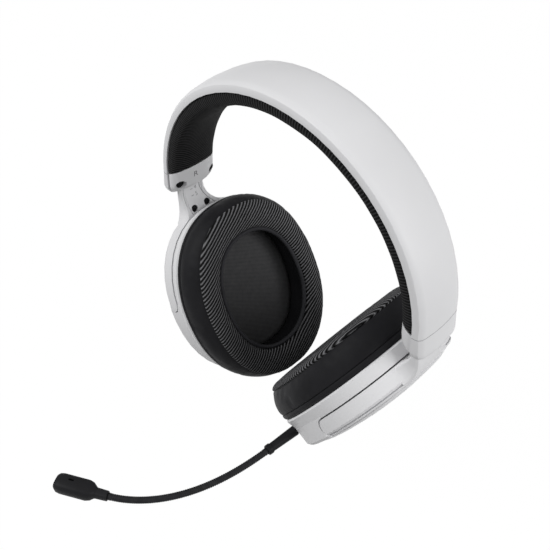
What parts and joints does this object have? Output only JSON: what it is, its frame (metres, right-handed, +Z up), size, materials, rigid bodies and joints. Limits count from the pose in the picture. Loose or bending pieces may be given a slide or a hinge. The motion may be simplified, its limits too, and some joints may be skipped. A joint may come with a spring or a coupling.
{
  "type": "headset with boom microphone",
  "caption": "Over-ear headset: arched padded headband, sliding forks, tilting oval ear cups with soft cushions, and a flexible boom microphone on the left cup.",
  "frame": {"origin": "middle of the underside of the headband pad, where it rests on the head", "axes": "+X to the wearer's left, -Y to the front (the side of the microphone), +Z up"},
  "size_m": [0.1806, 0.1967, 0.211],
  "materials": {
    "white_plastic": "satin, fine texture",
    "white_satin": "satin",
    "black_plastic": "fine texture",
    "leatherette": "soft satin with a knitted face",
    "knit": "fine ribs across",
    "cloth": "fine woven",
    "steel": "plain",
    "film": "thin film",
    "circuit": "solder mask"
  },
  "bodies": {
    "headband": {"band_shell": "white_plastic", "band_spring": "steel", "band_carrier": "black_plastic", "band_pad": "knit", "left_end_cap": "white_plastic", "left_end_cover": "white_satin", "left_detent_spring": "steel", "left_end_screw_front": "black_plastic", "left_end_screw_rear": "black_plastic", "right_end_cap": "white_plastic", "right_end_cover": "white_satin", "right_detent_spring": "steel", "right_end_screw_front": "black_plastic", "right_end_screw_rear": "black_plastic"},
    "left_arm": {"left_hanger": "white_plastic", "left_size_strip": "white_satin", "left_strip_screw_front": "black_plastic", "left_strip_screw_rear": "black_plastic", "left_pivot_pin_front": "steel", "left_pivot_pin_rear": "steel"},
    "left_cup": {"left_housing": "white_plastic", "left_outer_cover": "white_plastic", "left_baffle": "black_plastic", "left_driver_frame": "black_plastic", "left_driver_magnet": "steel", "left_diaphragm": "film", "left_acoustic_cloth": "cloth", "left_cushion_ring": "black_plastic", "left_ear_cushion": "leatherette", "audio_inlet": "black_plastic", "circuit_board": "circuit", "mic_socket": "black_plastic"},
    "right_arm": {"right_hanger": "white_plastic", "right_size_strip": "white_satin", "right_strip_screw_front": "black_plastic", "right_strip_screw_rear": "black_plastic", "right_pivot_pin_front": "steel", "right_pivot_pin_rear": "steel"},
    "right_cup": {"right_housing": "white_plastic", "right_outer_cover": "white_plastic", "right_baffle": "black_plastic", "right_driver_frame": "black_plastic", "right_driver_magnet": "steel", "right_diaphragm": "film", "right_acoustic_cloth": "cloth", "right_cushion_ring": "black_plastic", "right_ear_cushion": "leatherette"},
    "volume_wheel": {"volume_wheel": "black_plastic"},
    "mute_button": {"mute_button": "black_plastic"},
    "mic_boom": {"mic_plug": "steel", "mic_stem": "black_plastic", "mic_gooseneck": "black_plastic"},
    "mic_head": {"mic_capsule": "black_plastic", "mic_element": "steel"}
  },
  "joints": [
    {"name": "left_slide", "type": "slide", "parent": "headband", "child": "left_arm", "axis": [0.0523, 0, -0.9986], "range_m": [-0.005, 0.015]},
    {"name": "right_slide", "type": "slide", "parent": "headband", "child": "right_arm", "axis": [-0.0523, 0, -0.9986], "range_m": [-0.005, 0.015]},
    {"name": "left_tilt", "type": "hinge", "parent": "left_arm", "child": "left_cup", "pos_m": [0.06009, 0, -0.137], "axis": [0, -1, 0], "range_deg": [0, 25]},
    {"name": "right_tilt", "type": "hinge", "parent": "right_arm", "child": "right_cup", "pos_m": [-0.06009, 0, -0.137], "axis": [0, 1, 0], "range_deg": [0, 25]},
    {"name": "volume_turn", "type": "hinge", "parent": "left_cup", "child": "volume_wheel", "pos_m": [0.04536, 0.04115, -0.16314], "axis": [0.8712, 0, -0.4909], "range_deg": [-135, 135]},
    {"name": "mute_press", "type": "slide", "parent": "left_cup", "child": "mute_button", "axis": [0.2891, -0.8083, 0.513], "range_m": [0, 0.001], "stiffness_N_per_m": 400},
    {"name": "mic_pull", "type": "slide", "parent": "left_cup", "child": "mic_boom", "axis": [-0.0877, -0.9961, 0], "range_m": [0, 0.02]},
    {"name": "mic_bend", "type": "hinge", "parent": "mic_boom", "child": "mic_head", "pos_m": [0.01809, -0.09418, -0.17998], "axis": [0, 0, 1], "range_deg": [-30, 30], "deforming": ["mic_gooseneck"]}
  ]
}
